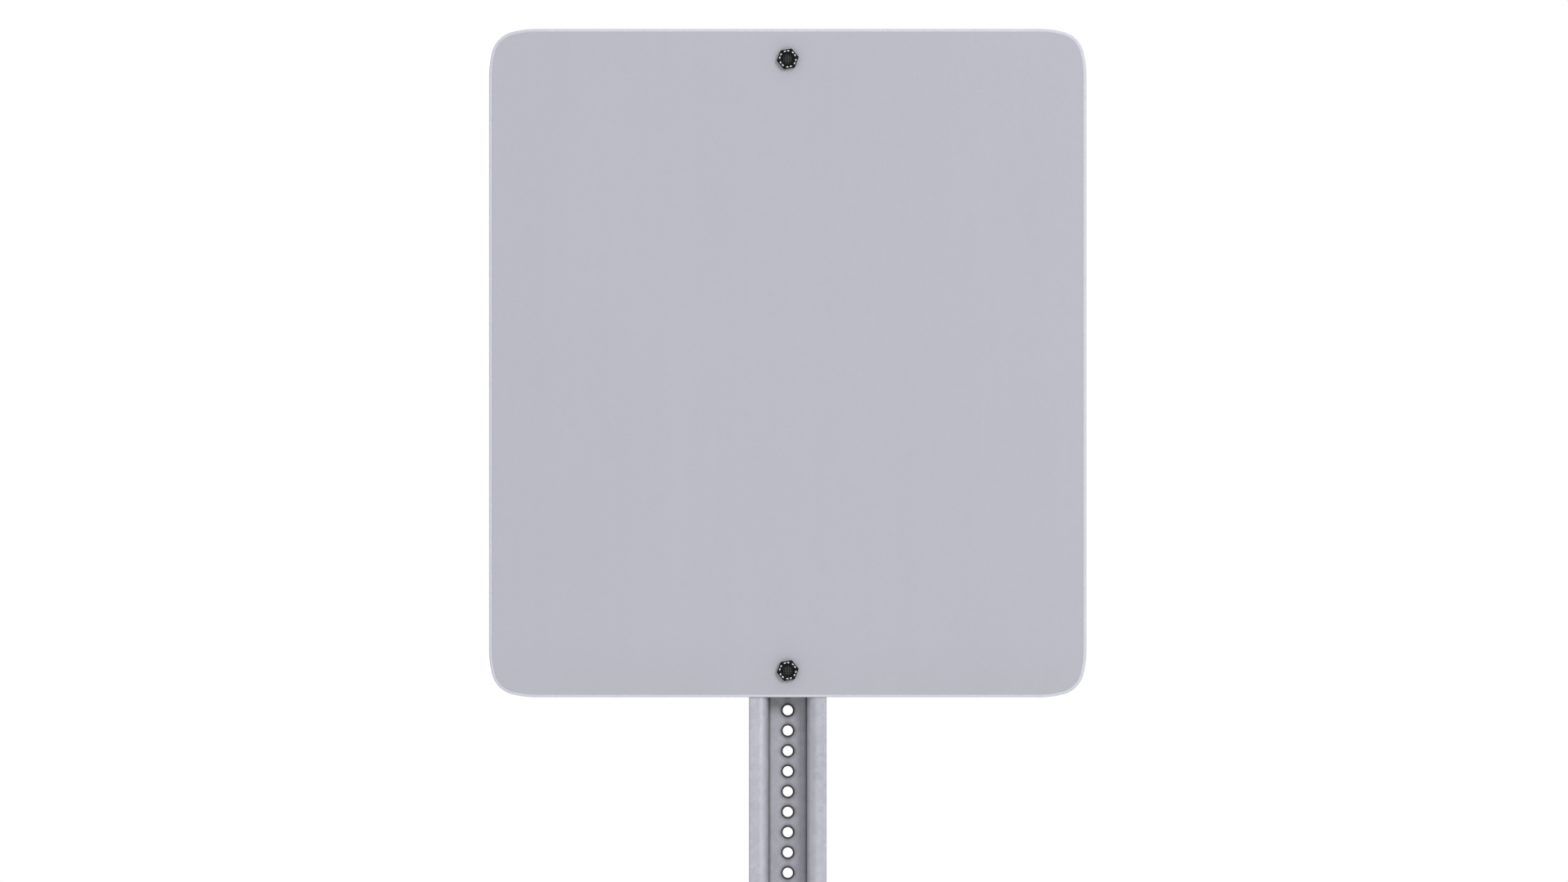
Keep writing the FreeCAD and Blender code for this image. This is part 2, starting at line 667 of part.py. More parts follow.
def make_gusset(name, left_face):
    """A triangular plate with a blunt toe and top, standing behind the upright."""
    body = new_body(name)
    outline = polygon_sketch(body, name + "_outline", "YZ_Plane", [
        ("0", "0"),
        ("gusset_reach", "0"),
        ("gusset_reach", "gusset_toe"),
        ("gusset_toe", "gusset_height"),
        ("0", "gusset_height"),
    ])
    pad(body, outline, "gusset_thickness")
    place(body, name, x=left_face, y=UPRIGHT_BACK, z="base_thickness")


def make_weld(name, plane, legs, length, place_at, reverse=False):
    """A fillet weld: a triangle on two legs of the given signs, drawn out along a joint."""
    body = new_body(name)
    first, second = legs
    section = polygon_sketch(body, name + "_section", plane, [
        ("0", "0"),
        (f"weld_leg * {first}", "0"),
        ("0", f"weld_leg * {second}"),
    ])
    pad(body, section, length, reverse)
    place(body, name, *place_at)


def make_foot():
    make_base_plate()
    make_upright()
    outer = "( upright_width / 2 - gusset_inset )"
    inner = "( upright_width / 2 - gusset_inset - gusset_thickness )"
    floor = "base_thickness"
    make_gusset("gusset_left", f"- {outer}")
    make_gusset("gusset_right", inner)
    make_weld("weld_upright_front", "YZ_Plane", (-1, 1), "upright_width",
              ("- upright_width / 2", WEB_BACK, floor))
    make_weld("weld_upright_back", "YZ_Plane", (1, 1), f"2 * {inner}", (f"- {inner}", UPRIGHT_BACK, floor))
    make_weld("weld_gusset_left", "XZ_Plane", (-1, 1), "gusset_reach", (f"- {outer}", UPRIGHT_BACK, floor),
              reverse=True)
    make_weld("weld_gusset_right", "XZ_Plane", (1, 1), "gusset_reach", (outer, UPRIGHT_BACK, floor),
              reverse=True)


make_post()
make_sign()
make_fastener("sign_top", SIGN_HIGH_BOLT, SHEETING_FRONT, WEB_BACK, "head_turn", "12")
make_fastener("sign_bottom", SIGN_LOW_BOLT, SHEETING_FRONT, WEB_BACK, "head_turn", "-7")
make_fastener("foot_top", FOOT_HIGH_BOLT, WEB_FRONT, UPRIGHT_BACK, "4", "20")
make_fastener("foot_bottom", FOOT_LOW_BOLT, WEB_FRONT, UPRIGHT_BACK, "27", "-13")
make_foot()

doc.recompute()
for item in doc.Objects:
    if "Invalid" in item.State or "Error" in item.State:
        raise RuntimeError(f"{item.Label} failed: {item.State}")
for piece in subparts:
    if piece.Shape.isNull() or not piece.Shape.isValid():
        raise RuntimeError(f"{piece.Label} has no sound shape")

os.makedirs("parts", exist_ok=True)
for piece in subparts:
    piece.Shape.exportStep(f"parts/{piece.Label}.step")
    box = piece.Shape.BoundBox
    print(f"{piece.Label}: {box.XLength:.1f} x {box.YLength:.1f} x {box.ZLength:.1f} mm,"
          f" {len(piece.Shape.Solids)} solid(s), {piece.Shape.Volume / 1000:.1f} cm3")
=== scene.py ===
import math

import bmesh
import bpy
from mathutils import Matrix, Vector


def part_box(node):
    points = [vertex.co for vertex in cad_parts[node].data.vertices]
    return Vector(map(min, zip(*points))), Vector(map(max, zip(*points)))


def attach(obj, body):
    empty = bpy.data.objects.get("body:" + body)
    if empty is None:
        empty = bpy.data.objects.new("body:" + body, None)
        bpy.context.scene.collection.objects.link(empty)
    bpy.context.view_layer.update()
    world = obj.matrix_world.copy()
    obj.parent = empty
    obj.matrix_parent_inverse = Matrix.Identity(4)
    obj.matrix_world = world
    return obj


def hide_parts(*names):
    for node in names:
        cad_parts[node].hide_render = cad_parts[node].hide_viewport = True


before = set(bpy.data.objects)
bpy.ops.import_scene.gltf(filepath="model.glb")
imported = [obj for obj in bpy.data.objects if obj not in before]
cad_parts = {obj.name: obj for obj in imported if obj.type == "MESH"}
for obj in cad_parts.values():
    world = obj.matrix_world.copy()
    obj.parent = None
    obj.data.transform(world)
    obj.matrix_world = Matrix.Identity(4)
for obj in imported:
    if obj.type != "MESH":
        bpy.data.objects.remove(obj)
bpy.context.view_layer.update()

MM = 0.001

# ---- places taken from the frame ----------------------------------------------------------------------

post_low, post_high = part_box("post")
panel_low, panel_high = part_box("sign_panel")
base_low, base_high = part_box("base_plate")


def middle(node):
    low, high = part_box(node)
    return (low + high) / 2


# The post's row of holes, the radius out to which each one's rim is rolled, and the channel's section.
PITCH = 25.4 * MM
RIM_RADIUS = 8.5 * MM
TROUGH_HALF = 24.2 * MM
WALL = 4.0 * MM
WEB_FRONT = post_high.y - WALL
POST_FOOT = post_low.z
SHEETING_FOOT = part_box("face_sheeting")[0].z

# Each bolt, with the angle in degrees that its hexagon is turned from a corner on +X.
BOLT_TURNS = {"sign_top": 9.4, "sign_bottom": 9.4, "foot_top": 4.0, "foot_bottom": 27.0}
BOLT_HEIGHTS = [middle(f"{joint}_washer").z for joint in BOLT_TURNS]
SIGN_BOLT_HEIGHTS = BOLT_HEIGHTS[:2]

# Every bolt head is in front of the first of these, and every nut behind the second.
HEADS_END = 20 * MM
NUTS_START = 21 * MM

# Raised pads on a bolt head's round land: two beside the middle of each of its flats.
HEAD_FLATS = 6
PAD_INNER = 9.35 * MM
PAD_OUTER = 10.80 * MM
PAD_HEIGHT = 0.35 * MM
PAD_SUNK = 0.2 * MM
PAD_ARC = math.radians(14)
PAD_ARC_STEPS = 5
PAD_OFFSET = math.radians(12.4)
PAD_ROUNDING = 0.14 * MM

# Four-sided points in square rows on the floor of each bolt head's dish.
DISH_DEPTH = 2.0 * MM
POINT_PITCH = PITCH / 12
POINT_BASE = 1.25 * MM
POINT_TOP_SHARE = 0.5
POINT_HEIGHT = 0.30 * MM
POINT_SUNK = 0.05 * MM
POINTS_REACH = 5.45 * MM

# Weld beads: how far the toes reach from the corner, how deep the section is sunk, how far its nose
# stands out, one ripple's length and how far a ripple leans along the bead.
TOE = 7.0 * MM
SUNK = 1.5 * MM
NOSE = 3.4 * MM
RIPPLE = 2.6 * MM
RIPPLE_LEAN = 1.1 * MM

# Sizes of the rings along a bead: at its start, through each ripple, and at its end.
BEAD_START = [0.5, 0.82]
RIPPLE_RINGS = [0.86, 1.05, 1.0]
BEAD_END = [0.86, 0.55]

# Dried soil: its colour, how far rain throws it up the post and how far it lies up the foot.
SOIL = (0.27, 0.25, 0.22)
SPLASH_HEIGHT = 0.14
DUST_HEIGHT = 0.05

# Studio: the floor's width, the world light's strength from below and from above, the point that the
# lights face, and the camera's lens and its place from the sign's middle.
FLOOR_SIZE = 28.0
WORLD_LOW = 0.46
WORLD_HIGH = 0.78
LIGHTS_AIM = Vector((0.0, 0.0, 1.3))
LENS = 235.0
CAMERA_SIDE = -4.7 * MM
CAMERA_DISTANCE = 12.756
CAMERA_DROP = 97.1 * MM


# ---- shader maths -------------------------------------------------------------------------------------

class Term:
    """A socket of a node tree that can be used in arithmetic; each operation adds a Math node."""

    def __init__(self, recipe, socket):
        self.recipe = recipe
        self.socket = socket

    def __add__(self, other):
        return self.recipe.math("ADD", self, other)

    def __radd__(self, other):
        return self.recipe.math("ADD", other, self)

    def __sub__(self, other):
        return self.recipe.math("SUBTRACT", self, other)

    def __rsub__(self, other):
        return self.recipe.math("SUBTRACT", other, self)

    def __mul__(self, other):
        return self.recipe.math("MULTIPLY", self, other)

    def __rmul__(self, other):
        return self.recipe.math("MULTIPLY", other, self)

    def __truediv__(self, other):
        return self.recipe.math("DIVIDE", self, other)

    def __abs__(self):
        return self.recipe.math("ABSOLUTE", self)


class Recipe:
    """A node tree, with short ways to add what the finishes below use."""

    def __init__(self, tree, coordinates="Object"):
        self.tree = tree
        self.tree.nodes.clear()
        self.where = self.out("ShaderNodeTexCoord", output=coordinates)

    def node(self, kind, settings=None, inputs=None):
        """One node: its settings are set first, then each input gets a value or a link."""
        made = self.tree.nodes.new(kind)
        for key, value in (settings or {}).items():
            setattr(made, key, value)
        for key, value in (inputs or {}).items():
            if isinstance(value, Term):
                self.tree.links.new(value.socket, made.inputs[key])
            else:
                made.inputs[key].default_value = value
        return made

    def out(self, kind, settings=None, inputs=None, output=0):
        return Term(self, self.node(kind, settings, inputs).outputs[output])

    def math(self, operation, *values):
        return self.out("ShaderNodeMath", {"operation": operation}, dict(enumerate(values)))

    def most(self, first, *others):
        for other in others:
            first = self.math("MAXIMUM", first, other)
        return first

    def least(self, first, *others):
        for other in others:
            first = self.math("MINIMUM", first, other)
        return first

    def clamp(self, value):
        return self.least(self.most(value, 0.0), 1.0)

    def axes(self):
        """The X, Y and Z of the point being shaded, in metres."""
        parts = self.node("ShaderNodeSeparateXYZ", inputs={0: self.where}).outputs
        return [Term(self, parts[i]) for i in range(3)]

    def stretched(self, x=1.0, y=1.0, z=1.0, turn=0.0):
        """The point turned about Y, then scaled, so that a pattern on it is drawn out that way."""
        turned = self.out("ShaderNodeMapping", inputs={"Vector": self.where, "Rotation": (0.0, turn, 0.0)})
        return self.out("ShaderNodeMapping", inputs={"Vector": turned, "Scale": (x, y, z)})

    def noise(self, size, detail=3.0, rough=0.5, at=None, bend=0.0):
        """Cloudy noise, mostly from 0.3 to 0.7, with features about 'size' metres across."""
        return self.out("ShaderNodeTexNoise", inputs={
            "Vector": at or self.where, "Scale": 1.0 / size, "Detail": detail,
            "Roughness": rough, "Distortion": bend})

    def ramp(self, value, low, high, start=0.0, end=1.0):
        """Goes smoothly from start to end as value goes from low to high."""
        return self.out("ShaderNodeMapRange", {"interpolation_type": "SMOOTHSTEP"}, {
            "Value": value, "From Min": low, "From Max": high, "To Min": start, "To Max": end})

    def grey(self, tone):
        return self.out("ShaderNodeCombineColor", inputs={0: tone, 1: tone, 2: tone})

    def tint(self, factor, first, second, blend="MIX"):
        """A mix of two colours, each a tuple or a term."""
        first = (*first, 1.0) if isinstance(first, tuple) else first
        second = (*second, 1.0) if isinstance(second, tuple) else second
        return self.out("ShaderNodeMix", {"data_type": "RGBA", "blend_type": blend},
                        {0: factor, 6: first, 7: second}, output=2)

    def bump(self, height, depth):
        """A normal from a height from 0 to 1 that stands for 'depth' metres."""
        return self.out("ShaderNodeBump", inputs={"Height": height, "Distance": depth, "Strength": 1.0})

    def surface(self, colour, roughness, metallic=0.0, normal=None, **constants):
        inputs = {"Base Color": colour, "Roughness": roughness, "Metallic": metallic, **constants}
        if normal is not None:
            inputs["Normal"] = normal
        shader = self.out("ShaderNodeBsdfPrincipled", inputs=inputs)
        self.node("ShaderNodeOutputMaterial", inputs={"Surface": shader})


def finish_recipe(name):
    material = bpy.data.materials.new(name)
    material.use_nodes = True
    return material, Recipe(material.node_tree)


# ---- finishes -----------------------------------------------------------------------------------------

def reflective_sheeting():
    """Pale blue-grey film: a fine sealed lattice, a slight grain, rain streaks, rubbed round the bolts."""
    material, r = finish_recipe("reflective_sheeting")
    x, _, z = r.axes()
    cell = 4.2 * MM
    line = 0.5 * MM
    lean = 0.5774  # the tangent of 30 degrees
    dust_height = 0.09
    rubbed_inner = 13 * MM
    rubbed_outer = 18 * MM
    ridges = []
    for slope in (lean, -lean):
        across = (x + z * slope) / cell
        from_middle = abs(r.math("FRACT", across) - 0.5)
        ridges.append(r.ramp(from_middle, 0.5 - line / cell, 0.5))
    lattice = r.most(*ridges)
    cloud = r.noise(0.35)
    streaks = r.noise(0.03, 3.0, 0.6, at=r.stretched(z=0.05))
    grain = r.noise(0.9 * MM, 2.0)
    tone = 0.935 + cloud * 0.05 + streaks * 0.03 + grain * 0.04 + lattice * 0.03
    colour = r.tint(1.0, (0.487, 0.487, 0.548), r.grey(tone), "MULTIPLY")
    dust = r.ramp(z, SHEETING_FOOT, SHEETING_FOOT + dust_height, 1.0, 0.0) * r.noise(0.04, 4.0)
    colour = r.tint(dust * 0.14, colour, (0.36, 0.34, 0.32))
    rings = []
    for height in SIGN_BOLT_HEIGHTS:
        far = r.math("SQRT", x * x + (z - height) * (z - height))
        rings.append(r.ramp(far, rubbed_inner, rubbed_outer, 1.0, 0.0))
    rubbed = r.most(*rings) * r.ramp(r.noise(2.4 * MM, 4.0, 0.7), 0.42, 0.62)
    colour = r.tint(rubbed * 0.16, colour, (0.26, 0.26, 0.29))
    rough = 0.34 + grain * 0.08 + rubbed * 0.12 - lattice * 0.05
    r.surface(colour, rough, 0.0, r.bump(lattice * 0.6 + grain * 0.25, 0.05 * MM), IOR=1.45)
    return material


def rolled_aluminium():
    """Mill-finish sheet: fine rolling lines along its width, dull clouds, thin scratches, and a painted
    highlight along the front of its edge.
    """
    material, r = finish_recipe("rolled_aluminium")
    _, y, _ = r.axes()
    lines = r.noise(0.8 * MM, 3.0, 0.7, at=r.stretched(x=0.02))
    bands = r.noise(14 * MM, 2.0, at=r.stretched(x=0.05))
    clouds = r.noise(0.12, 4.0, 0.6)
    stain = r.ramp(r.noise(0.05, 5.0, 0.65), 0.56, 0.74)
    scratches = r.most(*[
        r.ramp(r.noise(size, 1.0, at=r.stretched(x=drawn, turn=math.radians(turn)), bend=0.6), 0.71, 0.74)
        for size, drawn, turn in ((1.3 * MM, 0.02, 17), (2.2 * MM, 0.035, -68), (1.7 * MM, 0.05, 49))])
    tone = 0.80 + lines * 0.10 + bands * 0.10 + clouds * 0.16
    colour = r.tint(1.0, (0.66, 0.665, 0.70), r.grey(tone), "MULTIPLY")
    colour = r.tint(stain * 0.30, colour, (0.40, 0.41, 0.43))
    colour = r.tint(scratches * 0.3, colour, (0.82, 0.82, 0.84))
    # Painted highlight: the front of the sheet's edge is coloured brighter, bluer and less metallic, as if
    # light caught it.
    rim = r.ramp(y, panel_low.y + 1.2 * MM, panel_low.y + 2.4 * MM, 1.0, 0.0)
    colour = r.tint(rim, colour, r.tint(r.noise(3 * MM), (0.60, 0.60, 0.67), (0.70, 0.70, 0.78)))
    rough = 0.34 + lines * 0.12 + clouds * 0.10 + stain * 0.14 + rim * 0.1
    r.surface(colour, rough, 1.0 - rim * 0.75, r.bump(lines * 0.7 - scratches * 0.3, 0.02 * MM))
    return material


def zinc_layers(r, spangle):
    """What all hot-dip galvanised steel shares: tone, roughness, height and dull patches."""
    waves_per_metre = 260.0
    sideways = 2.6 * MM
    wobble = r.out("ShaderNodeTexNoise", inputs={
        "Vector": r.where, "Scale": waves_per_metre, "Detail": 2.0}, output="Color")
    small = r.out("ShaderNodeVectorMath", {"operation": "SCALE"}, {0: wobble, "Scale": sideways})
    warped = r.out("ShaderNodeVectorMath", {"operation": "ADD"}, {0: r.where, 1: small})
    crystals = r.out("ShaderNodeTexVoronoi", inputs={
        "Vector": warped, "Scale": 1.0 / spangle}, output="Color")
    channels = r.node("ShaderNodeSeparateColor", inputs={0: crystals}).outputs
    bright = Term(r, channels[0])
    sheen = Term(r, channels[1])
    feather = r.noise(1.1 * MM, 3.0, 0.65, at=warped)
    clouds = r.noise(0.11, 4.0, 0.6)
    bloom = r.ramp(r.noise(0.035, 5.0, 0.68), 0.55, 0.78)
    tone = 0.80 + bright * 0.11 + feather * 0.10 + clouds * 0.16
    rough = 0.44 + sheen * 0.14 + feather * 0.06 + bloom * 0.14
    height = feather * 0.5 + bright * 0.25 + r.noise(9 * MM) * 0.6
    return tone, rough, height, bloom


def galvanised_post():
    """Spangled zinc, dull patches, painted light on the bends and painted shade deeper in the channel and
    in its corners; dark oxide on the holes' rims, together with painted shade there, and under them.
    """
    material, r = finish_recipe("galvanised_post")
    x, y, z = r.axes()
    tone, rough, height, bloom = zinc_layers(r, 7 * MM)
    colour = r.tint(1.0, (0.52, 0.52, 0.575), r.grey(tone), "MULTIPLY")
    colour = r.tint(bloom * 0.3, colour, (0.55, 0.55, 0.59))
    # Painted light: the bends from the flanges into the channel walls are coloured lighter.
    painted_light_on_bends = (r.ramp(abs(x), TROUGH_HALF + 1 * MM, TROUGH_HALF + 9 * MM, 1.0, 0.0)
              * r.ramp(y, WEB_FRONT - 30 * MM, WEB_FRONT - 18 * MM, 1.0, 0.0))
    colour = r.tint(painted_light_on_bends * 0.6, colour, (0.66, 0.66, 0.72))

    row = (z - POST_FOOT) / PITCH
    down = (r.math("FRACT", row + 0.5) - 0.5) * PITCH
    around = r.math("SQRT", x * x + down * down)
    ragged = around + r.noise(2.5 * MM, 3.0, 0.6) * 1.2 * MM
    inner_face = r.ramp(y, WEB_FRONT + 1.6 * MM, WEB_FRONT + 2.6 * MM, 1.0, 0.25)
    holed = (r.ramp(z, POST_FOOT + 0.40 * PITCH, POST_FOOT + 0.55 * PITCH)
             * r.ramp(z, post_high.z - 0.55 * PITCH, post_high.z - 0.40 * PITCH, 1.0, 0.0))
    on_web = r.ramp(y, WEB_FRONT - 1 * MM, WEB_FRONT - 0.2 * MM) * inner_face * holed
    # The holes' rims and the front of their bores are coloured dark: partly grime, partly painted shade.
    rim = r.ramp(ragged, RIM_RADIUS + 0.3 * MM, RIM_RADIUS + 1.2 * MM, 1.0, 0.0)
    halo = r.ramp(around, RIM_RADIUS, RIM_RADIUS + 5 * MM, 1.0, 0.0) * r.noise(4 * MM, 4.0, 0.65)
    run = (r.ramp(abs(x), 1.5 * MM, 6.5 * MM, 1.0, 0.0)
           * r.noise(3 * MM, 4.0, 0.7, at=r.stretched(z=0.12)))
    # Painted shade: the channel's inside corners, where the walls meet the web, are coloured dark.
    corner = (r.ramp(abs(x), TROUGH_HALF - 4.5 * MM, TROUGH_HALF - 0.5 * MM)
              * r.ramp(y, WEB_FRONT - 7 * MM, WEB_FRONT - 1 * MM)
              * r.ramp(abs(x), TROUGH_HALF + 0.5 * MM, TROUGH_HALF + 1.5 * MM, 1.0, 0.0))
    # Grime round and under the holes, together with the painted shade on the holes' rims and in the
    # channel's corners.
    grime_and_painted_shade = r.clamp(on_web * (rim * 0.9 + halo * 0.5 + run * 0.35) + corner * 0.7)
    # Painted shade: the zinc is coloured darker the deeper it lies in the channel, towards the web.
    colour = r.tint(r.ramp(y, post_low.y + 8 * MM, WEB_FRONT, 0.0, 0.22), colour, (0.27, 0.265, 0.28))
    colour = r.tint(grime_and_painted_shade, colour, (0.075, 0.070, 0.074))
    splash = (r.ramp(z, POST_FOOT, POST_FOOT + SPLASH_HEIGHT, 1.0, 0.0)
              * r.ramp(r.noise(0.02, 5.0, 0.7), 0.40, 0.65))
    colour = r.tint(splash * 0.35, colour, SOIL)
    metallic = r.clamp(0.62 - bloom * 0.25 - grime_and_painted_shade * 0.5 - splash * 0.2)
    r.surface(colour, rough + grime_and_painted_shade * 0.22, metallic, r.bump(height, 0.10 * MM))
    return material


def galvanised_foot():
    """Thicker zinc on hot-rolled plate: larger spangles, scuffs, and more soil dust towards the ground."""
    material, r = finish_recipe("galvanised_foot")
    _, _, z = r.axes()
    tone, rough, height, bloom = zinc_layers(r, 11 * MM)
    colour = r.tint(1.0, (0.36, 0.36, 0.385), r.grey(tone), "MULTIPLY")
    colour = r.tint(bloom * 0.3, colour, (0.40, 0.40, 0.42))
    side = r.ramp(z, base_low.z, base_high.z - 1 * MM, 1.0, 0.0)
    above = r.ramp(z, base_high.z, base_high.z + DUST_HEIGHT, 1.0, 0.0)
    dust = r.clamp(above * r.ramp(r.noise(0.045, 5.0, 0.7), 0.40, 0.75) * 0.4
                   + side * r.ramp(r.noise(0.012, 4.0, 0.7), 0.35, 0.60) * 0.6)
    colour = r.tint(dust * 0.55, colour, SOIL)
    scuffs = r.ramp(r.noise(2.2 * MM, 2.0, at=r.stretched(x=0.05, y=0.2, turn=0.6), bend=0.5), 0.67, 0.72)
    colour = r.tint(scuffs * 0.4, colour, (0.60, 0.60, 0.62))
    metallic = r.clamp(0.5 - bloom * 0.2 - dust * 0.4)
    r.surface(colour, rough + 0.06 + dust * 0.2, metallic, r.bump(height - scuffs * 0.3, 0.16 * MM))
    return material


def black_oxide():
    """Black oxide steel, rubbed grey on the hexagons' corners, lighter on the points in each dish."""
    material, r = finish_recipe("black_oxide")
    x, y, z = r.axes()
    far = r.least(*[r.math("SQRT", x * x + (z - height) * (z - height)) for height in BOLT_HEIGHTS])
    bars = [abs(r.math("FRACT", value / POINT_PITCH) - 0.5) for value in (x, z - POST_FOOT)]
    dots = r.ramp(bars[0], 0.10, 0.30, 1.0, 0.0) * r.ramp(bars[1], 0.10, 0.30, 1.0, 0.0)
    on_points = (dots * r.ramp(far, 3.0 * MM, 7.5 * MM, 1.0, 0.0)
                 * r.ramp(y, HEADS_END, NUTS_START, 1.0, 0.0))
    fine = r.noise(0.5 * MM, 3.0, 0.6)
    cloud = r.noise(4 * MM, 4.0, 0.6)
    rust = r.ramp(r.noise(3.2 * MM, 5.0, 0.72), 0.62, 0.74)
    rubbed = (r.ramp(far, 12.0 * MM, 13.4 * MM) * r.ramp(r.noise(1.8 * MM, 4.0, 0.7), 0.44, 0.62)
              * r.ramp(y, HEADS_END, NUTS_START, 0.25, 1.0))
    colour = r.tint(cloud, (0.002, 0.002, 0.003), (0.010, 0.010, 0.011))
    colour = r.tint(on_points * 0.9, colour, (0.27, 0.27, 0.28))
    colour = r.tint(rust * 0.15, colour, (0.10, 0.045, 0.020))
    colour = r.tint(rubbed * 0.30, colour, (0.45, 0.45, 0.48))
    rough = 0.32 + fine * 0.18 + rust * 0.2 - rubbed * 0.06
    metallic = r.clamp(0.30 + rubbed * 0.45 - rust * 0.2)
    r.surface(colour, rough, metallic, r.bump(fine, 0.03 * MM), **{"Specular IOR Level": 0.16})
    return material


def bare_steel():
    """Steel rubbed bright: fine scratches and a few dark pits."""
    material, r = finish_recipe("bare_steel")
    fine = r.noise(0.35 * MM, 3.0, 0.6)
    pits = r.ramp(r.noise(0.9 * MM, 4.0, 0.7), 0.60, 0.70)
    colour = r.tint(fine, (0.58, 0.58, 0.62), (0.84, 0.84, 0.88))
    colour = r.tint(pits * 0.6, colour, (0.10, 0.10, 0.11))
    r.surface(colour, 0.34 + fine * 0.2 + pits * 0.2, r.clamp(0.35 - pits * 0.2),
              r.bump(fine - pits, 0.02 * MM))
    return material


def plated_zinc():
    """Bright zinc plating: a faint yellow cast, a fine grain and rust starting in places."""
    material, r = finish_recipe("plated_zinc")
    fine = r.noise(0.6 * MM, 3.0, 0.6)
    cloud = r.noise(6 * MM, 4.0, 0.6)
    rust = r.ramp(r.noise(5 * MM, 5.0, 0.72), 0.60, 0.72)
    colour = r.tint(cloud, (0.50, 0.50, 0.52), (0.64, 0.63, 0.60))
    colour = r.tint(rust * 0.5, colour, (0.22, 0.10, 0.045))
    r.surface(colour, 0.30 + fine * 0.16 + rust * 0.3, r.clamp(0.95 - rust * 0.7),
              r.bump(fine + rust * 0.6, 0.04 * MM))
    return material


def weld_metal():
    """A galvanised weld bead: dull, cloudy and grainy, with brown heat tint in places."""
    material, r = finish_recipe("weld_metal")
    fine = r.noise(0.8 * MM, 4.0, 0.65)
    cloud = r.noise(8 * MM, 4.0, 0.6)
    stain = r.ramp(r.noise(5 * MM, 4.0, 0.7), 0.52, 0.70)
    colour = r.tint(cloud, (0.28, 0.28, 0.30), (0.44, 0.44, 0.46))
    colour = r.tint(stain * 0.35, colour, (0.19, 0.15, 0.115))
    r.surface(colour, 0.42 + fine * 0.2, r.clamp(0.6 - stain * 0.3), r.bump(fine, 0.10 * MM))
    return material


def studio_floor():
    material, r = finish_recipe("studio_floor")
    r.surface(r.tint(r.noise(0.8), (0.77, 0.77, 0.78), (0.79, 0.79, 0.80)), 0.7)
    return material


def paint(node, material):
    """Gives a carried-over node one material in every slot."""
    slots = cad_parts[node].material_slots
    if not slots:
        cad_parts[node].data.materials.append(material)
    for slot in slots:
        slot.material = material


def paint_the_frame():
    paint("face_sheeting", reflective_sheeting())
    paint("sign_panel", rolled_aluminium())
    paint("post", galvanised_post())
    foot = galvanised_foot()
    for node in ("base_plate", "upright", "gusset_left", "gusset_right"):
        paint(node, foot)
    black = black_oxide()
    plated = plated_zinc()
    for joint in BOLT_TURNS:
        paint(f"{joint}_bolt", black)
        paint(f"{joint}_nut", black)
        paint(f"{joint}_washer", plated)
        paint(f"{joint}_lock_washer", plated)


# ---- modelling ----------------------------------------------------------------------------------------

def edit(piece):
    bpy.ops.object.select_all(action="DESELECT")
    bpy.context.view_layer.objects.active = piece
    piece.select_set(True)
    bpy.ops.object.mode_set(mode="EDIT")


def pick_points(piece, wanted):
    """Selects only the vertices whose place passes the test."""
    bpy.ops.mesh.select_mode(type="VERT")
    mesh = bmesh.from_edit_mesh(piece.data)
    for vertex in mesh.verts:
        vertex.select = wanted(vertex.co)
    mesh.select_flush_mode()
    bmesh.update_edit_mesh(piece.data)


def close_up():
    """Leaves edit mode with merged points, outward faces, and the piece's place in its mesh."""
    bpy.ops.mesh.select_all(action="SELECT")
    bpy.ops.mesh.remove_doubles(threshold=0.001 * MM)
    bpy.ops.mesh.normals_make_consistent(inside=False)
    bpy.ops.object.mode_set(mode="OBJECT")
    bpy.ops.object.transform_apply(location=True, rotation=True, scale=True)


def smooth_out(piece, levels):
    modifier = piece.modifiers.new("rounding", "SUBSURF")
    modifier.levels = levels
    modifier.render_levels = levels
    bpy.ops.object.modifier_apply(modifier=modifier.name)
    bpy.ops.object.shade_smooth()


def keep(piece, material, replaced=None):
    """Fixes a finished piece to the object with its finish, and hides the node that it stands for, if one
    is given.
    """
    piece.data.materials.clear()
    piece.data.materials.append(material)
    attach(piece, "root")
    if replaced:
        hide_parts(replaced)


def ripple_sizes(length):
    """The size of each ring along a bead: it swells unevenly from ripple to ripple, small at both ends."""
    ripples = round(length / RIPPLE)
    rings = []
    for i in range(ripples):
        swell = 1.0 + 0.035 * math.sin(1.9 * i) + 0.02 * math.sin(0.7 * i + 1.0)
        rings += [ring * swell for ring in RIPPLE_RINGS]
    return BEAD_START + rings + BEAD_END


def weld_bead(node, start, length, turn, material):
    """A rippled fillet bead from the start point along the turned X axis, with its root in the corner."""
    bpy.ops.object.select_all(action="DESELECT")
    reach = (TOE - SUNK) / 2
    bpy.ops.mesh.primitive_plane_add(size=TOE + SUNK, location=(0.0, -reach, reach),
                                     rotation=(0.0, math.radians(90), 0.0))
    bead = bpy.context.object
    bead.name = f"{node}_bead"
    bpy.ops.object.transform_apply(location=True, rotation=True, scale=True)
    edit(bead)
    pick_points(bead, lambda place: place.y < 0 and place.z > 0)
    bpy.ops.transform.translate(value=(RIPPLE_LEAN, TOE - NOSE, NOSE - TOE))
    bpy.ops.mesh.select_all(action="SELECT")
    sizes = ripple_sizes(length)
    step = length / len(sizes)
    before = 1.0
    for i, size in enumerate(sizes):
        if i > 0:
            bpy.ops.mesh.extrude_region_move(TRANSFORM_OT_translate={"value": (step, 0.0, 0.0)})
        change = size / before
        bpy.ops.transform.resize(value=(1.0, change, change), center_override=(0.0, 0.0, 0.0))
        before = size
    close_up()
    smooth_out(bead, levels=2)
    bead.rotation_euler = (0.0, 0.0, turn)
    bead.location = start
    bpy.ops.object.transform_apply(location=True, rotation=True, scale=True)
    keep(bead, material, node)


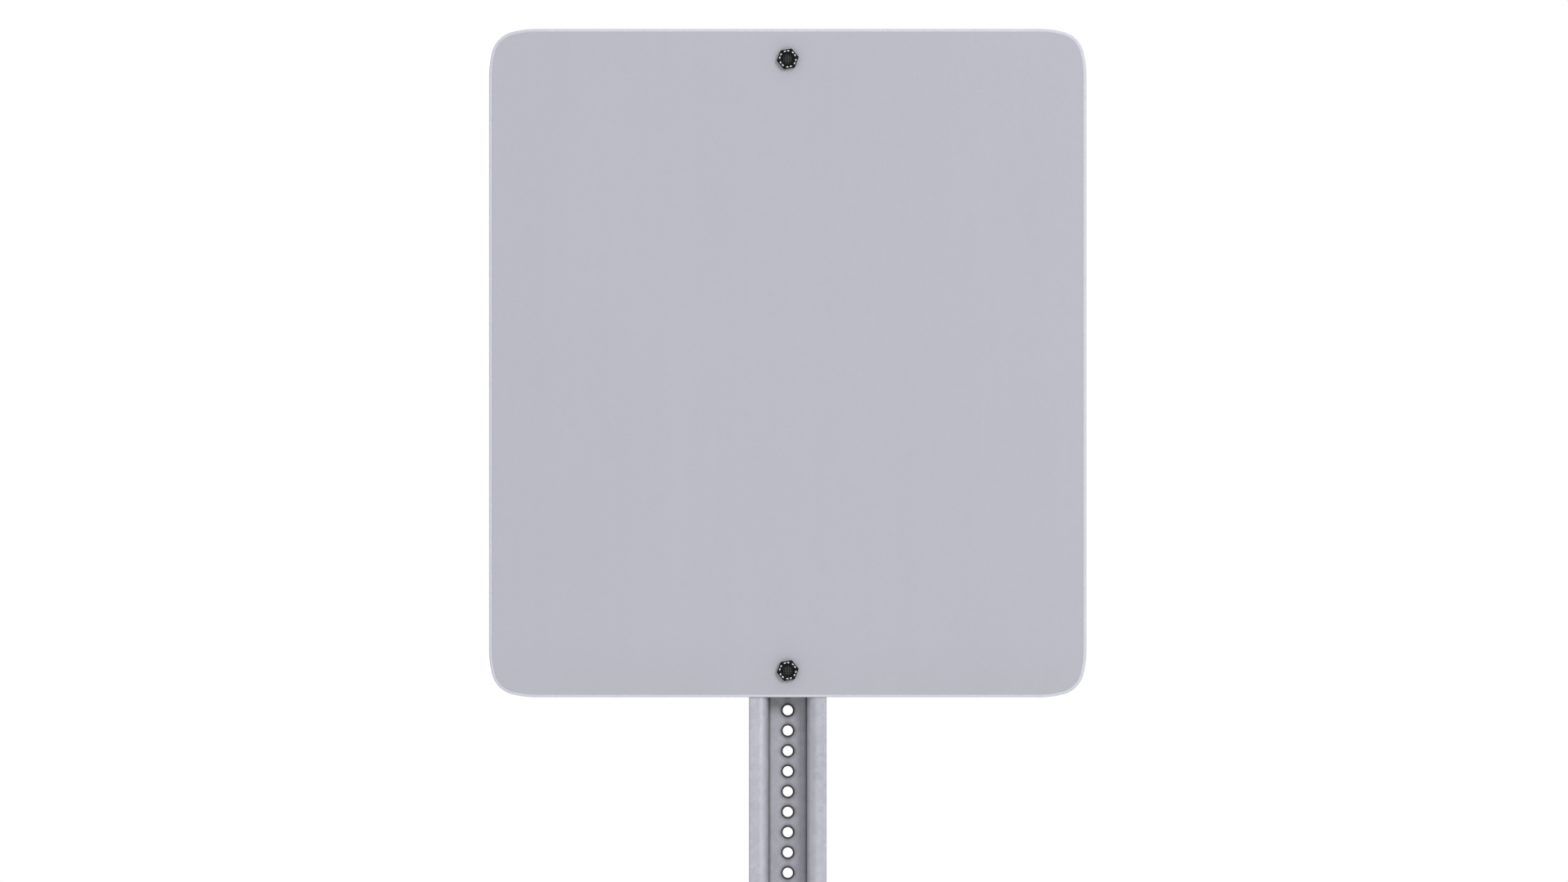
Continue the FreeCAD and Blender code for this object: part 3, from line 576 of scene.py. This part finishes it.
def make_weld_beads():
    """One bead in each corner between the plate and what stands on it."""
    material = weld_metal()
    top = base_high.z
    low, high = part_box("weld_upright_front")
    weld_bead("weld_upright_front", (low.x, high.y, top), high.x - low.x, 0.0, material)
    low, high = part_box("weld_upright_back")
    weld_bead("weld_upright_back", (high.x, low.y, top), high.x - low.x, math.radians(180), material)
    low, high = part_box("weld_gusset_right")
    weld_bead("weld_gusset_right", (low.x, low.y, top), high.y - low.y, math.radians(90), material)
    low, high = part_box("weld_gusset_left")
    weld_bead("weld_gusset_left", (high.x, high.y, top), high.y - low.y, math.radians(-90), material)


def head_pads(joint, turn, material):
    """Twelve low pads on a bolt head's land, in pairs beside the middle of each flat."""
    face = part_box(f"{joint}_bolt")[0].y
    height = middle(f"{joint}_washer").z
    around_bolt = {"center": (0.0, face, height), "axis": (0.0, 1.0, 0.0)}
    one_flat = 360.0 / HEAD_FLATS
    angle = math.radians(turn + one_flat / 2) + PAD_OFFSET - PAD_ARC / 2
    radius = (PAD_INNER + PAD_OUTER) / 2
    middle_y = face + (PAD_SUNK - PAD_HEIGHT) / 2
    bpy.ops.object.select_all(action="DESELECT")
    bpy.ops.mesh.primitive_plane_add(
        size=1.0, rotation=(0.0, -angle, 0.0),
        location=(radius * math.cos(angle), middle_y, height + radius * math.sin(angle)))
    pads = bpy.context.object
    pads.name = f"{joint}_head_pads"
    pads.scale = (PAD_OUTER - PAD_INNER, PAD_SUNK + PAD_HEIGHT, 1.0)
    bpy.ops.object.transform_apply(location=True, rotation=True, scale=True)
    edit(pads)
    bpy.ops.mesh.select_all(action="SELECT")
    bpy.ops.mesh.spin(steps=PAD_ARC_STEPS, angle=PAD_ARC, **around_bolt)
    bpy.ops.mesh.select_all(action="SELECT")
    bpy.ops.mesh.spin(steps=1, angle=-2 * PAD_OFFSET, dupli=True, **around_bolt)
    bpy.ops.mesh.select_all(action="SELECT")
    bpy.ops.mesh.spin(steps=HEAD_FLATS - 1, angle=math.radians(360.0 - one_flat), dupli=True, **around_bolt)
    close_up()
    rounding = pads.modifiers.new("eased_edges", "BEVEL")
    rounding.width = PAD_ROUNDING
    rounding.segments = 2
    rounding.limit_method = "ANGLE"
    rounding.angle_limit = math.radians(40)
    bpy.ops.object.modifier_apply(modifier=rounding.name)
    bpy.ops.object.shade_smooth_by_angle(angle=math.radians(35))
    keep(pads, material)


def row_middle(value):
    """The middle of the row of points that a distance from the bolt's axis belongs to."""
    return (math.floor(value / POINT_PITCH) + 0.5) * POINT_PITCH


def dish_points(joint, material):
    """Small four-sided points in square rows on the floor of a bolt head's dish."""
    height = middle(f"{joint}_washer").z
    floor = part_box(f"{joint}_bolt")[0].y + DISH_DEPTH
    left = row_middle(-POINTS_REACH)
    bottom = height + left
    bpy.ops.object.select_all(action="DESELECT")
    bpy.ops.mesh.primitive_plane_add(size=POINT_BASE, rotation=(math.radians(90), 0.0, 0.0),
                                     location=(left, floor + POINT_SUNK, bottom))
    points = bpy.context.object
    points.name = f"{joint}_dish_points"
    bpy.ops.object.transform_apply(location=True, rotation=True, scale=True)
    edit(points)
    bpy.ops.mesh.select_all(action="SELECT")
    bpy.ops.mesh.extrude_region_move(
        TRANSFORM_OT_translate={"value": (0.0, -POINT_SUNK - POINT_HEIGHT, 0.0)})
    bpy.ops.transform.resize(
        value=(POINT_TOP_SHARE, 1.0, POINT_TOP_SHARE), center_override=(left, floor, bottom))
    close_up()
    for step in ((POINT_PITCH, 0.0, 0.0), (0.0, 0.0, POINT_PITCH)):
        rows = points.modifiers.new("rows", "ARRAY")
        rows.use_relative_offset = False
        rows.use_constant_offset = True
        rows.constant_offset_displace = step
        rows.count = round(-2 * left / POINT_PITCH) + 1
        bpy.ops.object.modifier_apply(modifier=rows.name)
    edit(points)
    pick_points(points, lambda place: (
        math.hypot(row_middle(place.x), row_middle(place.z - height)) > POINTS_REACH))
    bpy.ops.mesh.delete(type="VERT")
    close_up()
    keep(points, material)


def finish_the_heads():
    pad_steel = bare_steel()
    point_steel = bpy.data.materials["black_oxide"]
    for joint, turn in BOLT_TURNS.items():
        head_pads(joint, turn, pad_steel)
        dish_points(joint, point_steel)


# ---- studio -------------------------------------------------------------------------------------------

def make_floor():
    bpy.ops.object.select_all(action="DESELECT")
    bpy.ops.mesh.primitive_plane_add(size=FLOOR_SIZE, location=(0.0, 0.0, 0.0))
    floor = bpy.context.object
    floor.name = "studio_floor"
    floor.data.materials.append(studio_floor())


def make_world():
    """A soft light that is stronger from above. What the camera sees of it directly is plain white."""
    world = bpy.data.worlds.new("studio")
    bpy.context.scene.world = world
    world.use_nodes = True
    r = Recipe(world.node_tree, "Generated")
    up = r.axes()[2]
    soft = r.out("ShaderNodeBackground", inputs={
        "Color": (1.0, 1.0, 1.0, 1.0), "Strength": r.ramp(up, -0.1, 0.9, WORLD_LOW, WORLD_HIGH)})
    white = r.out("ShaderNodeBackground", inputs={"Color": (1.0, 1.0, 1.0, 1.0), "Strength": 1.0})
    seen = r.out("ShaderNodeLightPath", output="Is Camera Ray")
    both = r.out("ShaderNodeMixShader", inputs={0: seen, 1: soft, 2: white})
    r.node("ShaderNodeOutputWorld", inputs={"Surface": both})


def make_light(name, place, width, watts):
    """A square softbox that faces the sign."""
    data = bpy.data.lights.new(name, "AREA")
    data.shape = "RECTANGLE"
    data.size = width
    data.size_y = width
    data.energy = watts
    light = bpy.data.objects.new(name, data)
    light.location = place
    light.rotation_euler = (LIGHTS_AIM - Vector(place)).to_track_quat("-Z", "Y").to_euler()
    light.visible_camera = False
    bpy.context.scene.collection.objects.link(light)


def make_lights():
    make_light("key_softbox", place=(4.7, -10.2, 6.0), width=4.0, watts=525.0)
    make_light("back_softbox", place=(-4.5, 7.5, 6.0), width=3.4, watts=400.0)


def make_camera():
    """Level, far off and almost square on: a long lens a little below the sign's middle."""
    data = bpy.data.cameras.new("camera")
    data.sensor_width = 36.0
    data.lens = LENS
    data.dof.use_dof = False
    camera = bpy.data.objects.new("camera", data)
    camera.location = (CAMERA_SIDE, panel_low.y - CAMERA_DISTANCE,
                       (panel_low.z + panel_high.z) / 2 - CAMERA_DROP)
    camera.rotation_euler = (math.radians(90), 0.0, 0.0)
    bpy.context.scene.collection.objects.link(camera)
    bpy.context.scene.camera = camera


paint_the_frame()
make_weld_beads()
finish_the_heads()
make_floor()
make_world()
make_lights()
make_camera()
bpy.context.scene.view_settings.view_transform = "Standard"
